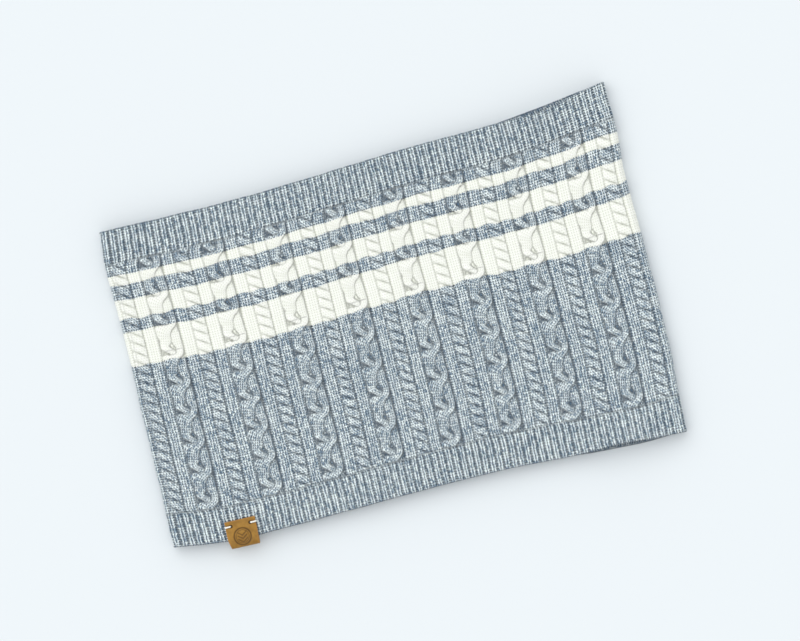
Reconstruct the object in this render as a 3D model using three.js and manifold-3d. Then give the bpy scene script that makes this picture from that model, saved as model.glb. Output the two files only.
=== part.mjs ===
// Knitted neck gaiter, laid flat: a ribbed and cabled tube worked in nine bands of yarn, the
// linking yarn that closes its one seam, and a folded leather tag sewn to the lower hem.
// Millimetres. +X runs along the flat width, +Y along the tube towards the striped hem, and
// +Z up from the surface that the gaiter lies on.
import * as THREE from 'three';
import Module from 'manifold-3d';
import { mergeVertices } from 'three/addons/utils/BufferGeometryUtils.js';

// ---- driving dimensions -----------------------------------------------------------------
const COURSE = 1.303; // height of one knitted row
const WALL = 2.2; // one layer, from its inner face to the crest of the cables
const INNER_GAP = 5.0; // room between the two layers
const CLEARANCE = 0.3; // between neighbouring solids

// The outline as [position, place] pairs, joined by smooth curves. The side edges are given
// along the courses, counted from the lower hem, and the hem edges across the width.
const LEFT_EDGE = [[0, -135.4], [40, -135.2], [94, -134.4], [113, -135.2], [129, -133.8]];
const RIGHT_EDGE = [[0, 133], [40, 135.2], [94, 134.2], [110, 135.4], [129, 134.8]];
const LOWER_EDGE = [[-134, -83.05], [-100, -86.95], [36, -85.25], [105, -89.25], [134, -88.75]];
const UPPER_EDGE = [[-134, 79.95], [-60, 79.35], [30, 83.75], [75, 85.05], [134, 92.05]];

// Towards the right end, both hems of the upper layer are lifted and drawn back a little.
const LIFT_CENTRE = 100;
const LIFT_REACH = 34;
const LOWER_LIFT = 5.0;
const UPPER_LIFT = 2.4;
const LIFT_COURSES = 16; // courses over which a lifted hem settles back
const DRAWN_BACK = 2.4;

// How many facets the tube has across its upper layer, across its lower layer, and round a fold.
const UPPER_FACETS = 18;
const LOWER_FACETS = 10;
const FOLD_FACETS = 5;

// Bands from the lower hem up: name, courses, rows of facets, yarn.
const BANDS = [
  ['lower_rib_hem', 13, 4, 'grey'],
  ['cable_body', 63, 8, 'grey'],
  ['wide_cream_stripe', 13, 2, 'cream'],
  ['lower_grey_stripe', 6, 1, 'grey'],
  ['middle_cream_stripe', 8, 1, 'cream'],
  ['upper_grey_stripe', 5, 1, 'grey'],
  ['narrow_cream_stripe', 4, 1, 'cream'],
  ['upper_cable_band', 4, 1, 'grey'],
  ['upper_rib_hem', 13, 4, 'grey'],
];

// Seam: a chain of linking yarn inside the lower layer, near the left fold.
const SEAM_FROM_EDGE = 10;
const SEAM_YARN = 1.5;
const SEAM_STEPS = 16;

// Leather tag: one strip folded round the lower edge of the upper layer.
const TAG_X = -99.3;
const TAG_WIDTH = 15.8;
const TAG_LENGTH = 14.2; // of the leaf that shows, from the fold to its free end
const TAG_OVERHANG = 4.9; // fold beyond the hem edge
const TAG_TURN = -1; // degrees
const LEATHER = 1.2;
const HOLE_FROM_END = 2.7;
const HOLE_FROM_SIDE = 2.9;
const HOLE_RADIUS = 0.8;

// Tag stitches: a loop of thread on each side, through a hole and round the tag's edge.
const THREAD = 0.9;
const THREAD_SIDES = 8;
const STITCH_OUTSIDE = 1.0; // from the tag's edge to the thread's outer leg

const FLAT_HEIGHT = 2 * WALL + INNER_GAP;
const COURSES = BANDS.reduce((sum, [, courses]) => sum + courses, 0);

const wasm = await Module();
wasm.setup();

// ---- yarns and leather ------------------------------------------------------------------
const finish = (color, roughness) => new THREE.MeshStandardMaterial({ color, roughness, metalness: 0 });
const MATERIALS = {
  grey: finish(0xa5b4c3, 0.95),
  cream: finish(0xf4f3e6, 0.95),
  leather: finish(0xa87a3a, 0.6),
  thread: finish(0xf6f4ee, 0.8),
};

// ---- the lie of the fabric --------------------------------------------------------------

/** Smooth curve through [position, value] pairs, with level ends. */
function through(pairs, position) {
  const last = pairs.length - 1;
  const p = THREE.MathUtils.clamp(position, pairs[0][0], pairs[last][0]);
  let i = 0;
  while (i < last - 1 && p > pairs[i + 1][0]) i += 1;
  const slope = (k) => {
    const [before, after] = [pairs[Math.max(k - 1, 0)], pairs[Math.min(k + 1, last)]];
    return (after[1] - before[1]) / (after[0] - before[0]);
  };
  const [[x0, y0], [x1, y1]] = [pairs[i], pairs[i + 1]];
  const span = x1 - x0;
  const t = (p - x0) / span;
  const u = 1 - t;
  return y0 * (1 + 2 * t) * u * u + y1 * (3 - 2 * t) * t * t
    + span * t * u * (slope(i) * u - slope(i + 1) * t);
}

/** 1 at the middle of the lifted stretch, falling to 0 at its ends. */
function lifted(x) {
  const q = Math.min(Math.abs(x - LIFT_CENTRE) / LIFT_REACH, 1);
  return Math.cos((q * Math.PI) / 2) ** 2;
}

/** 1 at a hem edge, falling to 0 where the fabric lies flat again. */
const nearHem = (courses) => (1 - Math.min(courses / LIFT_COURSES, 1)) ** 2;

/** Height of the upper layer's outer face above the resting surface. */
function upperFace(x, course) {
  const lift = LOWER_LIFT * nearHem(course) + UPPER_LIFT * nearHem(COURSES - course);
  return FLAT_HEIGHT + lifted(x) * lift;
}

/** Place along the tube of a point of either layer; drawn is 1 on the upper layer. */
function along(x, course, drawn) {
  const back = DRAWN_BACK * lifted(x) * drawn;
  const low = through(LOWER_EDGE, x) + back * nearHem(course);
  const high = through(UPPER_EDGE, x) - back * nearHem(COURSES - course);
  return THREE.MathUtils.lerp(low, high, course / COURSES);
}

/** One closed loop round the tube at a course, set in from the outer face by depth. */
function loopAt(course, depth) {
  const radius = FLAT_HEIGHT / 2;
  const left = through(LEFT_EDGE, course) + radius;
  const right = through(RIGHT_EDGE, course) - radius;
  const points = [];
  for (let i = 0; i < UPPER_FACETS; i += 1) {
    const x = THREE.MathUtils.lerp(left, right, i / UPPER_FACETS);
    points.push([x, along(x, course, 1), upperFace(x, course) - depth]);
  }
  const fold = (centre, start) => {
    for (let i = 0; i < FOLD_FACETS; i += 1) {
      const angle = start - (Math.PI * i) / FOLD_FACETS;
      const x = centre + Math.cos(angle) * (radius - depth);
      points.push([x, along(x, course, 0), radius + Math.sin(angle) * (radius - depth)]);
    }
  };
  fold(right, Math.PI / 2);
  for (let i = 0; i < LOWER_FACETS; i += 1) {
    const x = THREE.MathUtils.lerp(right, left, i / LOWER_FACETS);
    points.push([x, along(x, course, 0), depth]);
  }
  fold(left, -Math.PI / 2);
  return points;
}

// ---- solids -----------------------------------------------------------------------------

/** A closed ring of fabric between two places along the tube, counted in courses. */
function bandGeometry(start, end, rows) {
  const courses = Array.from({ length: rows + 1 }, (_, i) => start + ((end - start) * i) / rows);
  const loops = [
    ...courses.map((course) => loopAt(course, 0)),
    ...courses.reverse().map((course) => loopAt(course, WALL)),
  ];
  const count = loops[0].length;
  const indices = [];
  for (let j = 0; j < loops.length; j += 1) {
    const next = ((j + 1) % loops.length) * count;
    for (let i = 0; i < count; i += 1) {
      const k = (i + 1) % count;
      indices.push(j * count + i, j * count + k, next + i, j * count + k, next + k, next + i);
    }
  }
  const geometry = new THREE.BufferGeometry();
  geometry.setAttribute('position', new THREE.Float32BufferAttribute(loops.flat(2), 3));
  geometry.setIndex(indices);
  return geometry;
}

/** A tube of round section along a curve. */
function tubeGeometry(curve, diameter, sides, steps) {
  const section = new THREE.Shape();
  for (let i = 0; i < sides; i += 1) {
    const angle = (2 * Math.PI * i) / sides;
    const [x, y] = [(Math.cos(angle) * diameter) / 2, (Math.sin(angle) * diameter) / 2];
    if (i === 0) section.moveTo(x, y);
    else section.lineTo(x, y);
  }
  section.closePath();
  return new THREE.ExtrudeGeometry(section, { steps, extrudePath: curve, curveSegments: 1 });
}

/** The linking yarn, resting on the inner face of the lower layer. */
function seamGeometry() {
  const z = WALL + CLEARANCE + SEAM_YARN / 2;
  const points = [];
  for (let i = 0; i <= SEAM_STEPS; i += 1) {
    const course = 1 + ((COURSES - 2) * i) / SEAM_STEPS;
    const x = through(LEFT_EDGE, course) + SEAM_FROM_EDGE;
    points.push(new THREE.Vector3(x, along(x, course, 0), z));
  }
  return tubeGeometry(new THREE.CatmullRomCurve3(points), SEAM_YARN, 6, SEAM_STEPS);
}

/** The folded strip of leather, in its own frame: fold at y = 0, leaves towards +Y. */
function foldedStrip() {
  const outer = WALL / 2 + CLEARANCE + LEATHER;
  const inner = outer - LEATHER;
  const profile = new THREE.Shape();
  profile.moveTo(TAG_LENGTH, outer);
  profile.lineTo(outer, outer);
  profile.absarc(outer, 0, outer, Math.PI / 2, (3 * Math.PI) / 2, false);
  profile.lineTo(TAG_LENGTH, -outer);
  profile.lineTo(TAG_LENGTH, -inner);
  profile.lineTo(outer, -inner);
  profile.absarc(outer, 0, inner, (3 * Math.PI) / 2, Math.PI / 2, true);
  profile.lineTo(TAG_LENGTH, inner);
  profile.closePath();
  const strip = new THREE.ExtrudeGeometry(profile, { depth: TAG_WIDTH, bevelEnabled: false, curveSegments: 8 });
  strip.translate(0, 0, -TAG_WIDTH / 2);
  const toTagFrame = new THREE.Matrix4().makeBasis(
    new THREE.Vector3(0, 1, 0), new THREE.Vector3(0, 0, 1), new THREE.Vector3(1, 0, 0));
  return strip.applyMatrix4(toTagFrame);
}

/** An upright round pin that cuts a hole, in the tag's frame. */
function holeCutter(x, radius) {
  const pin = new THREE.CylinderGeometry(radius, radius, 4 * WALL, 12);
  pin.rotateX(Math.PI / 2);
  return pin.translate(x, TAG_LENGTH - HOLE_FROM_END, 0);
}

/** The loop of thread on one side of the tag, in the tag's frame; side is -1 or 1. */
function stitchGeometry(side) {
  const high = WALL / 2 + CLEARANCE + LEATHER + CLEARANCE + THREAD / 2;
  const near = TAG_WIDTH / 2 - HOLE_FROM_SIDE;
  const far = TAG_WIDTH / 2 + STITCH_OUTSIDE;
  const middle = (near + far) / 2;
  const route = [
    [middle - THREAD, -high], [near + 0.2, -high + 0.15], [near, -high + 0.9], [near, 0],
    [near, high - 0.9], [near + 0.4, high - 0.1], [middle, high], [far - 0.4, high - 0.1],
    [far, high - 0.9], [far, 0], [far, -high + 0.9], [far - 0.2, -high + 0.15], [middle + THREAD, -high],
  ];
  const y = TAG_LENGTH - HOLE_FROM_END;
  const curve = new THREE.CatmullRomCurve3(route.map(([x, z]) => new THREE.Vector3(side * x, y, z)));
  return tubeGeometry(curve, THREAD, THREAD_SIDES, 28);
}

/** A closed three.js geometry as a manifold solid. */
function toSolid(geometry) {
  const bare = geometry.clone();
  for (const name of Object.keys(bare.attributes)) {
    if (name !== 'position') bare.deleteAttribute(name);
  }
  const merged = mergeVertices(bare, 1e-4);
  return new wasm.Manifold(new wasm.Mesh({
    numProp: 3,
    vertProperties: new Float32Array(merged.attributes.position.array),
    triVerts: new Uint32Array(merged.index.array),
  }));
}

/** The first geometry with the others cut away. */
function cut(geometry, cutters) {
  const solid = cutters.reduce((rest, cutter) => rest.subtract(toSolid(cutter)), toSolid(geometry));
  const { vertProperties, triVerts } = solid.getMesh();
  const result = new THREE.BufferGeometry();
  result.setAttribute('position', new THREE.Float32BufferAttribute(vertProperties, 3));
  result.setIndex(new THREE.Uint32BufferAttribute(triVerts, 1));
  return result;
}

// ---- assembly ---------------------------------------------------------------------------

/** A named mesh with its vertex normals. */
function part(name, geometry, material) {
  geometry.computeVertexNormals();
  const mesh = new THREE.Mesh(geometry, MATERIALS[material]);
  mesh.name = name;
  return mesh;
}

/** Where the tag's own frame sits on the gaiter. */
function tagPlace() {
  const place = new THREE.Group();
  const edge = along(TAG_X, 0, 1);
  place.position.set(TAG_X, edge - TAG_OVERHANG, FLAT_HEIGHT - WALL / 2);
  place.rotation.z = THREE.MathUtils.degToRad(TAG_TURN);
  place.updateMatrix();
  return place;
}

/** The tag with its two stitches. */
function leatherTag() {
  const near = TAG_WIDTH / 2 - HOLE_FROM_SIDE;
  const holes = [holeCutter(-near, HOLE_RADIUS), holeCutter(near, HOLE_RADIUS)];
  return tagPlace().add(
    part('leather_tag', cut(foldedStrip(), holes), 'leather'),
    part('tag_stitch_left', stitchGeometry(-1), 'thread'),
    part('tag_stitch_right', stitchGeometry(1), 'thread'));
}

/** The lower hem, pierced where the tag's thread passes through it. */
function piercedHem(geometry) {
  const near = TAG_WIDTH / 2 - HOLE_FROM_SIDE;
  const far = TAG_WIDTH / 2 + STITCH_OUTSIDE;
  const place = tagPlace().matrix;
  const pins = [-far, -near, near, far].map((x) => holeCutter(x, THREAD / 2 + CLEARANCE));
  const level = pins.map((pin) => pin.scale(1, 1, 0.5).applyMatrix4(place));
  return cut(geometry, level);
}

/** The knitted tube, band by band from the lower hem up. */
function knittedTube() {
  const tube = new THREE.Group();
  let start = 0;
  BANDS.forEach(([name, courses, rows, yarn], index) => {
    const half = CLEARANCE / COURSE / 2;
    const from = start + (index === 0 ? 0 : half);
    const to = start + courses - (index === BANDS.length - 1 ? 0 : half);
    const ring = bandGeometry(from, to, rows);
    tube.add(part(name, index === 0 ? piercedHem(ring) : ring, yarn));
    start += courses;
  });
  return tube;
}

const gaiter = new THREE.Group();
gaiter.add(knittedTube(), part('seam_linking_yarn', seamGeometry(), 'grey'), leatherTag());

export default gaiter;
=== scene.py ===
"""Looks of the knitted neck gaiter: cabled bands of marled yarn, a leather tag and its stitches.

The CAD gives the lie of the tube, its bands and the tag. This scene knits the surface on top of
it: every wale and cable is worked out from one stitch plan, built as a closed mesh for each band,
and shaded with the stitch coordinates that the mesh carries. Lengths are in millimetres until a
mesh is written, in metres.
"""
from __future__ import annotations

import logging
import math
from collections.abc import Callable, Sequence
from dataclasses import dataclass
from enum import Enum
from typing import Any

import bpy
import numpy as np
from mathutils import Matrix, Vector

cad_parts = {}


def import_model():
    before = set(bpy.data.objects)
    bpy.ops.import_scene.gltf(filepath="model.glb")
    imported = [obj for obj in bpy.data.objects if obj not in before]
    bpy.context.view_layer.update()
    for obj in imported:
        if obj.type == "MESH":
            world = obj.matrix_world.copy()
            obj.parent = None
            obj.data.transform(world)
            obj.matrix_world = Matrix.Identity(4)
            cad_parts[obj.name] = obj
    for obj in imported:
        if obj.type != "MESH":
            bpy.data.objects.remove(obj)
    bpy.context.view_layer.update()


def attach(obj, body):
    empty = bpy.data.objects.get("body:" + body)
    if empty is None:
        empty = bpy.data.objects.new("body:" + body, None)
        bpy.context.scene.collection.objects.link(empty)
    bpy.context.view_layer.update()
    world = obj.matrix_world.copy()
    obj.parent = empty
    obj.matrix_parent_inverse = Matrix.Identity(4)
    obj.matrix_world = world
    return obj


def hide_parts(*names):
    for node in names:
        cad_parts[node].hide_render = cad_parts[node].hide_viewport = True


LOG = logging.getLogger("gaiter")
MM = 0.001
Array = np.ndarray

# ---- the tube, as the CAD has it ------------------------------------------------------------
COURSE = 1.303  # height of one course
COURSES = 129
FLAT_HEIGHT = 9.4  # of both layers and the room between them
FOLD_RADIUS = 2.5  # of the inner face
LEFT_EDGE = ((0, -135.4), (40, -135.2), (94, -134.4), (113, -135.2), (129, -133.8))
RIGHT_EDGE = ((0, 133), (40, 135.2), (94, 134.2), (110, 135.4), (129, 134.8))
LOWER_EDGE = ((-134, -83.05), (-100, -86.95), (36, -85.25), (105, -89.25), (134, -88.75))
UPPER_EDGE = ((-134, 79.95), (-60, 79.35), (30, 83.75), (75, 85.05), (134, 92.05))
LIFT_CENTRE, LIFT_REACH = 100.0, 34.0  # x of the lifted stretch of both hems, and half its length
LOWER_LIFT, UPPER_LIFT = 5.0, 2.4
LIFT_COURSES = 16.0  # courses over which a lifted hem settles back
DRAWN_BACK = 2.4  # how far a lifted edge is drawn back
SEAM_FROM_EDGE = 10.0  # from the left fold to the line where the tube is joined

# ---- wales round the tube ---------------------------------------------------------------------
REPEAT = 26  # wales in one repeat: rope, rib, ring, rib, and the four gutters
REPEATS = 17
WALES = REPEAT * REPEATS
UNITS = (0.0, 7.0, 12.0, 21.0, 26.0)  # gutters of a repeat, counted in wales
SHARES = (0.0, 0.234, 0.426, 0.808, 1.0)  # where they lie across its width
REPEAT_STARTS = (-131.6, -99.1, -66.3, -33.8, -2.8, 27.6, 59.1, 90.5, 122.5)  # x on the upper layer
LAST_REPEAT = 31.0  # width of the repeat that goes round the right fold
FRONT_WALES = 213.8  # on the upper layer, between the folds
SKEW = 1.4  # wales from the first gutter to the left fold's end
FOLD_WALES = 9.2  # round one fold
FRONT_START, FRONT_END = -130.1, 130.1  # x of the first and last of them
PER_WALE = 3  # columns of the mesh
PER_COURSE = 2  # rows of the mesh

# ---- courses over which the hems and the cables merge -----------------------------------------
DRAWN_IN, LET_OUT = (10.5, 15.5), (112.5, 117.5)  # the cables draw the fabric in, and let it out
LOWER_MERGE, UPPER_MERGE = (12.2, 13.8), (115.2, 116.8)  # the rib's relief gives way to the cables'


class Yarn(Enum):
    """The two yarns, by their material slot."""

    GREY = "grey_yarn"
    CREAM = "cream_yarn"


@dataclass(frozen=True)
class Band:
    """A stretch of courses knitted in one yarn."""

    name: str
    start: int
    courses: int
    yarn: Yarn
    is_hem: bool = False

    @property
    def end(self) -> int:
        """The course at which the band ends."""
        return self.start + self.courses


BANDS = (
    Band("lower_rib_hem", 0, 13, Yarn.GREY, True),
    Band("cable_body", 13, 61, Yarn.GREY),
    Band("wide_cream_stripe", 74, 14, Yarn.CREAM),
    Band("lower_grey_stripe", 88, 5, Yarn.GREY),
    Band("middle_cream_stripe", 93, 8, Yarn.CREAM),
    Band("upper_grey_stripe", 101, 6, Yarn.GREY),
    Band("narrow_cream_stripe", 107, 4, Yarn.CREAM),
    Band("upper_cable_band", 111, 5, Yarn.GREY),
    Band("upper_rib_hem", 116, 13, Yarn.GREY, True),
)


def smooth_step(low: float, high: float, value: Array) -> Array:
    """0 below low and 1 above high, with a smooth rise between.

    Args:
        low: Where the rise starts.
        high: Where it ends.
        value: Where it is asked for.

    Returns:
        The share, of value's shape.
    """
    t = np.clip((value - low) / (high - low), 0.0, 1.0)
    return t * t * (3 - 2 * t)


def bell(value: Array, width: float) -> Array:
    """A smooth bump of height 1 at 0, that has died away at about twice width."""
    return np.exp(-((value / width) ** 2))


def ripple(seed: int, terms: Sequence[tuple[float, float]], *coordinates: Array) -> Array:
    """A smooth irregular wave: a sum of sines with fixed random directions and phases.

    Args:
        seed: Chooses the wave.
        terms: Pairs of (amplitude, wavelength).
        *coordinates: The coordinates it runs over.

    Returns:
        The wave's height.
    """
    random = np.random.default_rng(seed)
    total = np.zeros(np.broadcast(*coordinates).shape)
    for amplitude, length in terms:
        for _ in range(3):
            direction = random.normal(size=len(coordinates))
            direction /= np.linalg.norm(direction)
            phase = random.uniform(0, math.tau)
            way = sum(d * c for d, c in zip(direction, coordinates))
            total = total + amplitude / 1.7 * np.sin(math.tau * way / length + phase)
    return total


@dataclass(frozen=True)
class Smooth:
    """A smooth curve through (position, value) pairs, level at its ends."""

    pairs: tuple[tuple[float, float], ...]

    def __call__(self, position: Array | float) -> Array:
        """The curve's value at each position."""
        x, y = np.array(self.pairs, float).T
        p = np.clip(position, x[0], x[-1])
        i = np.clip(np.searchsorted(x, p, side="left") - 1, 0, len(x) - 2)
        before, after = np.maximum(np.arange(len(x)) - 1, 0), np.minimum(np.arange(len(x)) + 1, len(x) - 1)
        slope = (y[after] - y[before]) / (x[after] - x[before])
        span = x[i + 1] - x[i]
        t = (p - x[i]) / span
        u = 1 - t
        return (
            y[i] * (1 + 2 * t) * u * u
            + y[i + 1] * (3 - 2 * t) * t * t
            + span * t * u * (slope[i] * u - slope[i + 1] * t)
        )


@dataclass(frozen=True)
class Lie:
    """Where the fabric lies: places for wale, course and height above the inner face."""

    left: Smooth = Smooth(LEFT_EDGE)
    right: Smooth = Smooth(RIGHT_EDGE)
    lower: Smooth = Smooth(LOWER_EDGE)
    upper: Smooth = Smooth(UPPER_EDGE)
    wave_fade: float = 14.0  # wales from a fold to the full height of the upper layer's waves
    sag: float = 0.3  # of the upper layer between its folds

    @staticmethod
    def lifted(x: Array) -> Array:
        """1 at the middle of the lifted stretch of the hems, 0 past its ends."""
        q = np.minimum(np.abs(x - LIFT_CENTRE) / LIFT_REACH, 1.0)
        return np.cos(q * math.pi / 2) ** 2

    @staticmethod
    def near_hem(courses: Array) -> Array:
        """1 at a hem edge, 0 where the fabric lies flat again."""
        return (1 - np.clip(courses / LIFT_COURSES, 0.0, 1.0)) ** 2

    def along(self, x: Array, course: Array, drawn: Array | float) -> Array:
        """y of points of either layer.

        Args:
            x: Their x.
            course: Courses from the lower hem.
            drawn: 1 on the upper layer, whose lifted edges are drawn back, and 0 on the lower one.

        Returns:
            y, of x's shape.
        """
        back = DRAWN_BACK * self.lifted(x) * drawn
        low = self.lower(x) + back * self.near_hem(course)
        high = self.upper(x) - back * self.near_hem(COURSES - course)
        return low + (high - low) * course / COURSES

    def lift(self, x: Array, course: Array) -> Array:
        """How far the upper layer is lifted at the hems."""
        at_hems = LOWER_LIFT * self.near_hem(course) + UPPER_LIFT * self.near_hem(COURSES - course)
        return self.lifted(x) * at_hems

    @staticmethod
    def share_across(units: Array, course: Array) -> Array:
        """Repeats counted from the first gutter, with cables drawn in and hems even.

        Args:
            units: Wales round the tube.
            course: Courses from the lower hem.

        Returns:
            The count, with its fraction the share of a repeat's width.
        """
        whole = np.floor((units + SKEW) / REPEAT)
        part = units + SKEW - whole * REPEAT
        even = part / REPEAT
        drawn_in = np.interp(part, UNITS, SHARES)
        cabled = smooth_step(*DRAWN_IN, course) * (1 - smooth_step(*LET_OUT, course))
        return whole + even + (drawn_in - even) * cabled

    def front_x(self, units: Array, course: Array) -> Array:
        """x on the upper layer.

        Args:
            units: Wales round the tube.
            course: Courses from the lower hem.

        Returns:
            x, stretched to end where the folds begin.
        """
        share = self.share_across(units, course)
        starts = np.array(REPEAT_STARTS + (REPEAT_STARTS[-1] + LAST_REPEAT,))
        x = np.interp(share, np.arange(len(starts)), starts)
        first, last = FRONT_START, FRONT_END
        t = (x - first) / (last - first)
        shift_left = self.left(course) + FLAT_HEIGHT / 2 - first
        shift_right = self.right(course) - FLAT_HEIGHT / 2 - last
        return x + shift_left * (1 - t) + shift_right * t

    def back_x(self, units: Array, course: Array) -> Array:
        """x on the lower layer, which runs the other way.

        Args:
            units: Wales round the tube.
            course: Courses from the lower hem.

        Returns:
            x, from the right fold to the left one.
        """
        start, end = FRONT_WALES + FOLD_WALES, WALES - FOLD_WALES
        share = self.share_across(units, course)
        low = self.share_across(np.full_like(share, start), course)
        high = self.share_across(np.full_like(share, end), course)
        right = self.right(course) - FLAT_HEIGHT / 2
        left = self.left(course) + FLAT_HEIGHT / 2
        return right + (left - right) * (share - low) / (high - low)

    def place(self, units: Array, course: Array, height: Array, beyond: Array | float = 0.0) -> Array:
        """Points of the fabric.

        Args:
            units: Wales round the tube, from the left fold's end of the upper layer.
            course: Courses from the lower hem.
            height: Height above the inner face.
            beyond: How far past its course the point reaches along the tube.

        Returns:
            Points, one more axis than the inputs.
        """
        units, course, height = np.broadcast_arrays(units, course, height)
        units = np.mod(units, WALES)
        fold, back, last = FRONT_WALES, FRONT_WALES + FOLD_WALES, WALES - FOLD_WALES
        middle = FLAT_HEIGHT / 2
        reach = FOLD_RADIUS + height
        angle_right = math.pi / 2 - math.pi * (units - fold) / FOLD_WALES
        angle_left = -math.pi / 2 - math.pi * (units - last) / FOLD_WALES
        right = self.right(course) - middle
        left = self.left(course) + middle
        on_front, on_fold, on_back = units < fold, units < back, units < last
        x = np.select(
            [on_front, on_fold, on_back],
            [self.front_x(units, course), right + np.cos(angle_right) * reach, self.back_x(units, course)],
            left + np.cos(angle_left) * reach,
        )
        over = np.where(on_front, 1.0, 0.0)
        z = np.select(
            [on_front, on_fold, on_back],
            [middle + reach, middle + np.sin(angle_right) * reach, middle - reach],
            middle + np.sin(angle_left) * reach,
        )
        z = z + over * self.lift(x, course)
        # The upper layer rides in soft waves over the lower one, fading out at the folds.
        fade = self.wave_fade
        edge = smooth_step(0, fade, units) * (1 - smooth_step(fold - fade, fold, units))
        z = z + over * edge * (ripple(5, ((0.35, 95.0), (0.18, 38.0)), x, course * COURSE) - self.sag)
        y = self.along(x, course, over) + beyond
        x = x + ripple(11, ((0.18, 60.0), (0.10, 24.0)), x * 0.5, course * COURSE)
        y = y + ripple(12, ((0.20, 70.0), (0.10, 26.0)), x, course * COURSE * 0.5)
        return np.stack([x, y, z], axis=-1)


@dataclass(frozen=True)
class Surface:
    """The relief at many places: height, stitch coordinates and the painted shading of each place (painted
    shade where positive, painted highlight where negative).
    """

    height: Array
    wale: Array
    course: Array
    painted_shading: Array


@dataclass
class Strand:
    """One strand of a ring cable, from where it comes up on the right to where it dives on the left.

    Its line runs down the right side, over to the left, down the left side and back in. u is in
    wales from the ring's left gutter, and down is in courses below a crossing.
    """

    wale: float = 1.39  # millimetres between the wales that it lies over
    turn: float = 12.0  # courses between crossings
    turns: int = 3  # crossings that its whole line passes
    pitch: float = 1.12  # millimetres between the strand's own wales
    rounding: float = 0.6  # from its crest down to its sides
    floor: float = 0.62  # height of the fabric beside it
    samples: int = 150  # points along its line
    # (u, down, crest, reach to its inner side, reach to its outer side), reaches in millimetres
    stations: tuple[tuple[float, ...], ...] = (
        (7.1, 2.6, 0.65, 1.9, 2.4), (7.2, 4.6, 0.98, 1.9, 3.0), (7.2, 6.6, 1.22, 1.9, 3.3),
        (7.2, 9.0, 1.25, 1.9, 3.3), (7.3, 11.0, 1.35, 1.8, 2.5), (7.35, 12.6, 1.55, 1.7, 2.1),
        (6.75, 14.0, 1.85, 1.9, 1.9),
        (5.6, 14.9, 1.95, 1.9, 1.7), (4.4, 15.8, 1.80, 2.4, 3.4), (3.4, 16.9, 1.50, 3.1, 6.0),
        (2.8, 18.4, 1.30, 3.4, 4.6), (2.55, 20.0, 1.28, 3.3, 3.0), (2.3, 21.4, 1.42, 2.7, 2.7),
        (2.2, 22.6, 1.68, 2.1, 2.3), (2.9, 23.7, 1.88, 1.8, 1.8), (4.0, 24.7, 1.88, 1.7, 1.6),
        (5.0, 25.5, 1.65, 1.6, 1.5), (5.9, 26.2, 1.10, 1.4, 1.4), (6.6, 26.9, 0.40, 1.2, 1.2),
    )

    def __post_init__(self) -> None:
        """Works out the strand's smooth line and its direction all along."""
        table = np.array(self.stations)
        x, y = table[:, 0] * self.wale, table[:, 1] * COURSE
        run = np.concatenate([[0.0], np.cumsum(np.hypot(np.diff(x), np.diff(y)))])
        self.run = np.linspace(0.0, run[-1], self.samples)
        self.x, self.y, self.crest, self.inner, self.outer = (
            Smooth(tuple(zip(run, column)))(self.run) for column in (x, y, *table[:, 2:].T))
        along_x, along_y = np.gradient(self.x), np.gradient(self.y)
        length = np.hypot(along_x, along_y)
        self.along = np.stack([along_x / length, along_y / length])

    def surface(self, u: Array, down: Array) -> Surface:
        """The relief of a ring cable.

        Args:
            u: Wales from the left gutter.
            down: Courses below any crossing.

        Returns:
            The surface; its courses grow along the strand.
        """
        x = u * self.wale
        first_wale = UNITS[2]
        # The fabric beside the strands starts with a middling painted shade.
        best = Surface(
            np.full_like(x, self.floor), np.floor(u) + first_wale, down.copy(), np.full_like(x, 0.5))
        base = np.mod(down, self.turn)
        for turn in range(self.turns):
            y = (base + turn * self.turn) * COURSE
            away = (x[:, None] - self.x) ** 2 + (y[:, None] - self.y) ** 2
            near = np.argmin(away, axis=1)
            dx, dy = x - self.x[near], y - self.y[near]
            tx, ty = self.along[:, near]
            side = dx * ty - dy * tx  # to its inner side
            reach = np.where(side > 0, self.inner[near], self.outer[near])
            share = np.abs(side) / reach
            crest = self.crest[near]
            ends = (near == 0) | (near == self.samples - 1)
            height = np.where((share < 1) & ~ends, crest - self.rounding * share ** 3.0, -1.0)
            wins = height > best.height
            run = (self.run[near] + dx * tx + dy * ty) / COURSE
            # Painted shade beside the strand's lower stretches, and painted highlight on its highest
            # crests.
            dark = 0.12 - 0.3 * smooth_step(1.35, 1.8, crest)
            best = Surface(
                np.where(wins, height, best.height), np.where(wins, 16.0 + side / self.pitch, best.wale),
                np.where(wins, run + np.floor((down - base) / self.turn) * 40.0, best.course),
                np.where(wins, dark, best.painted_shading))
        return best


# For courses, a path gives the wale across, the crest's height, the width in wales and the painted shade.
Path = Callable[[Array], tuple[Array, Array, Array, Array]]


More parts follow.
